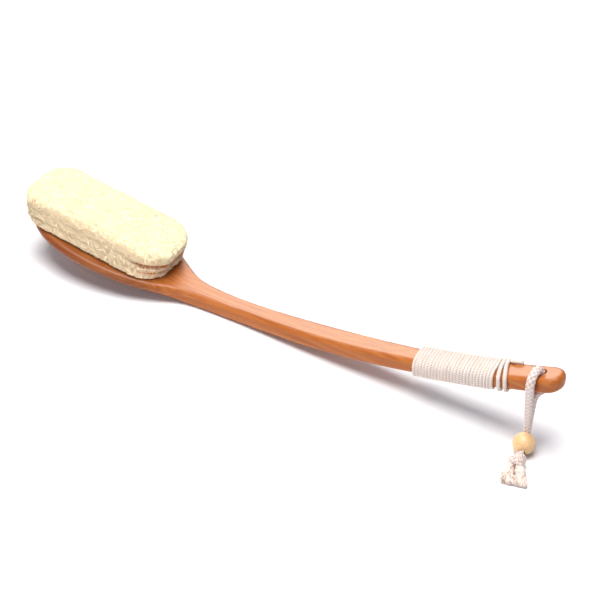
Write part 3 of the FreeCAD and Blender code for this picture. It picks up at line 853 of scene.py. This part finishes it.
def ridges(p, size, seed):
    """A net of ridges: 1 on the threads, falling to about -1 in the pits."""
    return 1.0 - 3.2 * abs(noise.noise(p / size + Vector((seed, seed * 1.7, seed * 0.3))))


def steps_between(start, end, step):
    """Evenly spaced values from start up to, and without, end."""
    count = max(2, int(round(abs(end - start) / step)))
    return [start + (end - start) * i / count for i in range(count)]


def layer_profile(low, high, top_round, bottom_round, top_step, crown):
    """Insets and heights of one layer's section, from the middle of its top to the middle of its bottom."""
    medial = PAD_WIDTH / 2
    rows = [(d, high + crown * (1 - ((medial - d) / medial) ** 2))
            for d in steps_between(medial, top_round, top_step)]
    arc = max(2, int(round(top_round * 1.57 / PAD_STEP)))
    rows += [(top_round * (1 - math.sin(a)), high - top_round * (1 - math.cos(a)))
             for a in (math.pi / 2 * i / arc for i in range(arc))]
    side_top, side_low = high - top_round, low + bottom_round
    if side_top > side_low:
        rows += [(0.0, h) for h in steps_between(side_top, side_low, PAD_STEP)]
    arc = max(2, int(round(bottom_round * 1.57 / PAD_STEP)))
    rows += [(bottom_round * (1 - math.cos(a)), low + bottom_round * (1 - math.sin(a)))
             for a in (math.pi / 2 * i / arc for i in range(arc))]
    rows += [(d, low) for d in steps_between(bottom_round, medial, HIDDEN_STEP)] + [(medial, low)]
    return rows


def pad_layer(name, node, mat, low, high, top_round, bottom_round, top_step, shape, reach, crown=0.0):
    """Builds a layer and pushes its points about. shape(point, normal) gives push, depth, painted glow and
    shade, and shift.
    """
    profile = layer_profile(low, high, top_round, bottom_round, top_step, crown)
    points, faces = pad_shell(profile, reach)
    obj = clean(name, points, faces, mat)
    mesh = obj.data
    moved, depths, glow_and_shade_values = [], [], []
    for vertex in mesh.vertices:
        push, depth, painted_glow_and_shade, shift = shape(vertex.co, vertex.normal)
        moved.append(vertex.co + vertex.normal * push + shift)
        depths.append(depth)
        glow_and_shade_values.append(painted_glow_and_shade)
    for vertex, place in zip(mesh.vertices, moved):
        vertex.co = on_paddle(slanted(place))
    set_values(mesh, "depth", depths)
    set_values(mesh, "painted_glow_and_shade", glow_and_shade_values)
    mesh.update()
    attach(obj, "scrubber")
    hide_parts(node)
    return obj


def texture_push(p, strong=1.0):
    """Push in metres and a 0 to 1 depth value for the fibre net at a point. A low depth paints shade into the
    net's pits.
    """
    coarse = ridges(p, 1.30 * MM, 3.0)
    fine = ridges(p, 0.75 * MM, 11.0)
    lumps = noise.noise(p / (6.0 * MM)) + 0.6 * noise.noise(p / (2.8 * MM))
    push = (0.24 * coarse + 0.14 * fine + 0.34 * lumps) * MM * strong
    depth = 0.56 + 0.32 * coarse + 0.20 * fine + 0.12 * lumps
    return push, min(max(depth, 0.0), 1.0)


def neck_share(p):
    """0 along the pad's sides, rising to 1 round its neck end, where the pressed layers show."""
    return smooth_step((p.x - 88 * MM) / (18 * MM))


def top_shape(p, n):
    """The top layer: net all over, a dashed crease near its edge with painted shade in it, and a peach tone
    down its sides, painted light for light that passes through the fibre.
    """
    height = p.z
    outside = smooth_step((height - LEVELS[2] - 0.4 * MM) / (1.5 * MM))
    push, depth = texture_push(p, 0.35 + 0.65 * outside)
    edge = PAD_WIDTH / 2 - abs(p.y)
    painted_glow_and_shade = 0.0
    if p.y < 0 and n.z > 0.4:
        dash = noise.noise(Vector((p.x / (5.0 * MM), p.y / (9 * MM), 4.0)))
        line_y = 3.4 * MM + 1.4 * MM * noise.noise(Vector((p.x / (22 * MM), 0.0, 9.0)))
        gully = math.exp(-((edge - line_y) / (0.8 * MM)) ** 2) * smooth_step((dash + 0.05) * 3.5)
        # The crease's groove is real; its darker colour is painted shade.
        push -= 0.65 * MM * gully
        depth -= 0.42 * gully
        painted_glow_and_shade += 0.16 * gully
    # Painted peach light down the sides, in random patches.
    side = 1.0 - smooth_step((abs(n.z) - 0.1) / 0.6)
    patch = 0.5 + 0.9 * noise.noise(p / (7 * MM))
    painted_glow_and_shade += (0.34 + 0.10 * neck_share(p)) * side * smooth_step((LEVELS[3] - height) / (7 * MM)) * patch
    ragged = noise.noise(Vector((p.x / (1.6 * MM), p.y / (1.6 * MM), 5.0)))
    lip = (1 - outside) * (1 - smooth_step((abs(n.z) - 0.5) / 0.45))
    return push, min(max(depth, 0.0), 1.0), min(painted_glow_and_shade, 1.0), Vector((0, 0, -0.5 * MM * abs(ragged) * lip))


def core_shape(p, n):
    """The core: its side is hollowed in two bands round the neck end, with painted shade in them, and painted
    peach light down its side in random patches.
    """
    side = 1.0 - smooth_step((abs(n.z) - 0.3) / 0.6)
    push, depth = texture_push(p, side)
    above, below = LEVELS[2] - p.z, p.z - LEVELS[1]
    neck = neck_share(p)
    far = smooth_step((p.y + 18 * MM) / (36 * MM))
    hollow = math.exp(-((above - 2.6 * MM) / ((1.5 + 0.9 * far) * MM)) ** 4)
    seam = math.exp(-(below / (1.0 * MM)) ** 2)
    push -= neck * (1.3 * hollow + 0.9 * seam) * MM * side
    patch = 0.5 + 0.9 * noise.noise(p / (7 * MM))
    # Painted peach light on the side, and painted shade in the two bands and along the seam.
    painted_glow_and_shade = side * (0.34 * patch + neck * ((0.62 + 0.38 * far) * hollow + 0.60 * seam))
    return push, min(max(depth - 0.3 * painted_glow_and_shade, 0.0), 1.0), min(painted_glow_and_shade, 1.0), Vector()


def bottom_shape(p, n):
    """The bottom layer: a ragged side with painted peach light in random patches, and a line of painted shade
    under the core at the neck end.
    """
    side = 1.0 - smooth_step((abs(n.z) - 0.5) / 0.45)
    push, depth = texture_push(p, side)
    ragged = noise.noise(Vector((p.x / (2.2 * MM), p.y / (2.2 * MM), 2.0)))
    rag = side * smooth_step((LEVELS[1] - p.z) / (4 * MM))
    push += 0.8 * MM * ragged * rag
    patch = 0.5 + 0.9 * noise.noise(p / (7 * MM))
    seam = math.exp(-((LEVELS[1] - p.z - 1.2 * MM) / (1.0 * MM)) ** 2)
    # Painted peach light on the side, and painted shade along the seam under the core.
    painted_glow_and_shade = side * (0.34 * patch + neck_share(p) * (0.12 + 0.5 * seam))
    return push, depth, min(painted_glow_and_shade, 1.0), Vector((0, 0, 0.30 * MM * ragged * rag))


top_layer = pad_layer("loofah_top", "loofah_top_layer", LOOFAH, LEVELS[2], LEVELS[3],
                      4.6 * MM, 0.3 * MM, TOP_STEP, top_shape, PAD_LENGTH, crown=1.0 * MM)
core_layer = pad_layer("loofah_core", "loofah_core_layer", LOOFAH_CORE, LEVELS[1], LEVELS[2],
                       0.5 * MM, 0.5 * MM, HIDDEN_STEP, core_shape, PAD_LENGTH - LAYER_STEP)
bottom_layer = pad_layer("loofah_bottom", "loofah_bottom_layer", LOOFAH, LEVELS[0], LEVELS[1],
                         0.3 * MM, 2.0 * MM, HIDDEN_STEP, bottom_shape, PAD_LENGTH - 2 * LAYER_STEP)


def fibres(name, base, mat, count, lift, hanging=0.35):
    """Loose gourd threads on a layer's outside. hanging is the share of those on its sides that droop."""
    mesh = base.data
    tree = surface_tree(base)
    covered = base is not top_layer
    outside = [p for p in mesh.polygons if p.normal.z > -0.35 and not (covered and abs(p.normal.z) > 0.8)]
    weights = np.cumsum([p.area for p in outside])
    glow_and_shade_data = mesh.attributes["painted_glow_and_shade"].data
    gather, glow_and_shade_values = Gather(), []
    for _ in range(count):
        face = outside[int(np.searchsorted(weights, chance.uniform(0, weights[-1])))]
        painted_glow_and_shade = glow_and_shade_data[face.vertices[0]].value
        if painted_glow_and_shade > 0.35 and chance.random() < 0.7:
            continue
        point, normal = Vector(face.center), Vector(face.normal)
        heading = Vector([chance.gauss(0, 1) for _ in range(3)])
        droops = normal.z < 0.6 and chance.random() < hanging
        if droops:
            heading = Vector((chance.gauss(0, 0.35), chance.gauss(0, 0.35), -1.0))
        heading = (heading - normal * heading.dot(normal)).normalized()
        loose = chance.random() < (0.30 if droops else 0.10)
        stride = chance.uniform(0.40, 0.85) * MM
        points = []
        count_here = 5 if loose else 7
        for i in range(count_here):
            rise = lift * (0.3 + 0.7 * math.sin(math.pi * i / (count_here - 1)))
            if loose:
                rise += 0.20 * MM * i
            points.append(point + normal * rise)
            heading = (heading + Vector([chance.gauss(0, 0.3) for _ in range(3)])).normalized()
            place, normal, _, _ = tree.find_nearest(point + heading * stride)
            heading = (heading - normal * heading.dot(normal)).normalized()
            point = place
        thick = chance.uniform(0.11, 0.20) * MM
        size = thick * np.sin(np.linspace(0.35, math.pi - 0.35, count_here))
        round_tube(gather, np.array(points), size, 3, chance.choice((0.55, 0.8, 0.95, 1.0)),
                   first=(normal.x + 0.01, normal.y, normal.z))
        # Loose threads carry the painted light and shade of the face they grow from, a little weaker.
        glow_and_shade_values += [0.8 * painted_glow_and_shade] * (3 * count_here)
    obj = gather.build(name, mat)
    set_values(obj.data, "painted_glow_and_shade", glow_and_shade_values)
    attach(obj, "scrubber")


def side_fringe(name, layers, count):
    """Longer threads combed down the pad's sides, across the edges of its layers."""
    points, faces = [], []
    for layer in layers:
        start = len(points)
        points += [v.co.copy() for v in layer.data.vertices]
        faces += [tuple(start + i for i in p.vertices) for p in layer.data.polygons]
    tree = BVHTree.FromPolygons(points, faces)
    tip_end, neck_end = Vector((-0.2135, -0.088))       # a Vector, as the draws depend on its rounding
    near_share, steps = 0.68, 6
    gather, glow_and_shade_values = Gather(), []
    for _ in range(count):
        aim = Vector((chance.uniform(tip_end, neck_end), 0.0, 0.0))
        side = -1 if chance.random() < near_share else 1
        aim.z = paddle_top(aim.x) + chance.uniform(1.5, 19.5) * MM
        start = Vector((aim.x + chance.uniform(-15, 15) * MM, side * 60 * MM, aim.z))
        point, normal, _, _ = tree.ray_cast(start, (aim - start).normalized())
        if point is None or normal.z > 0.85:
            continue
        neck = smooth_step((point.x + 0.113) / 0.014)
        if chance.random() < 0.75 * neck:
            continue
        heading = Vector((chance.gauss(0, 0.5), normal.y * 0.4, -1.0))
        stride = chance.uniform(0.55, 0.95) * MM
        line = []
        for i in range(steps):
            line.append(point + normal * (0.22 + 0.62 * math.sin(math.pi * i / steps)) * MM)
            heading = heading - normal * heading.dot(normal)
            heading = (heading + Vector([chance.gauss(0, 0.28) for _ in range(3)])).normalized()
            place, out, _, _ = tree.find_nearest(point + heading * stride)
            if out.z < -0.2 or place.z < paddle_top(place.x) + 0.5 * MM:
                break
            point, normal = place, out
        if len(line) < 4:
            continue
        thick = chance.uniform(0.13, 0.24) * MM
        size = thick * np.interp(np.linspace(0, 1, len(line)), [0, 0.3, 0.8, 1.0], [0.6, 1.0, 0.9, 0.4])
        round_tube(gather, np.array(line), size, 3, chance.choice((0.6, 0.85, 0.95, 1.0)),
                   first=(normal.x + 0.01, normal.y, normal.z))
        # Each side thread gets a random share of the painted peach light of the sides.
        glow_and_shade_values += [chance.choice((0.06, 0.14, 0.22, 0.34))] * (3 * len(line))
    obj = gather.build(name, LOOFAH)
    set_values(obj.data, "painted_glow_and_shade", glow_and_shade_values)
    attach(obj, "scrubber")


side_fringe("loofah_side_fringe", (top_layer, core_layer, bottom_layer), 6500)
fibres("loofah_top_fibres", top_layer, LOOFAH, 8500, 0.22 * MM)
fibres("loofah_core_fibres", core_layer, LOOFAH_CORE, 1500, 0.25 * MM, hanging=0.6)
fibres("loofah_bottom_fibres", bottom_layer, LOOFAH, 1700, 0.25 * MM, hanging=0.5)


# ---------------- floor, light and camera

floor_mat, _, floor_shader = material("studio_floor")
floor_shader.inputs["Base Color"].default_value = (0.92, 0.92, 0.94, 1)
floor_shader.inputs["Roughness"].default_value = 0.85
HALF_FLOOR = 6.0
floor_corners = [(x * HALF_FLOOR, y * HALF_FLOOR, 0) for x, y in ((-1, -1), (1, -1), (1, 1), (-1, 1))]
floor = new_mesh("floor", floor_corners, [(0, 1, 2, 3)], floor_mat, False)

world = bpy.data.worlds.new("studio")
world.use_nodes = True
world.node_tree.nodes["Background"].inputs["Color"].default_value = (0.74, 0.79, 1.0, 1)
world.node_tree.nodes["Background"].inputs["Strength"].default_value = 0.25
scene.world = world


def area_light(name, place, target, size, power, colour):
    """A round soft light at a place, aimed at a target. Its power is in watts."""
    data = bpy.data.lights.new(name, "AREA")
    data.shape, data.size, data.energy, data.color = "DISK", size, power, colour
    obj = bpy.data.objects.new(name, data)
    obj.location = place
    obj.rotation_euler = (Vector(target) - Vector(place)).to_track_quat("-Z", "Y").to_euler()
    scene.collection.objects.link(obj)
    return obj


area_light("overhead", (-0.06, -0.05, 1.5), (0, 0, 0), 1.15, 33, (1.0, 0.98, 0.95))
area_light("front_fill", (-0.25, -1.5, 0.42), (-0.1, 0, 0.03), 1.0, 7.0, (1.0, 0.96, 0.92))
glow = area_light("back_softbox", (-0.95, 1.36, 1.16), (0, 0, 0), 1.7, 60, (1.0, 0.99, 0.88))
glow.visible_diffuse = False        # it shows in reflections only

camera_data = bpy.data.cameras.new("camera")
camera_data.lens, camera_data.sensor_width = 96.0, 36.0
camera = bpy.data.objects.new("camera", camera_data)
camera.location = (0.4867, -0.7219, 0.6968)
camera.rotation_euler = (math.radians(52.5), 0, math.radians(33.0))
scene.collection.objects.link(camera)
scene.camera = camera
scene.view_settings.view_transform = "Standard"
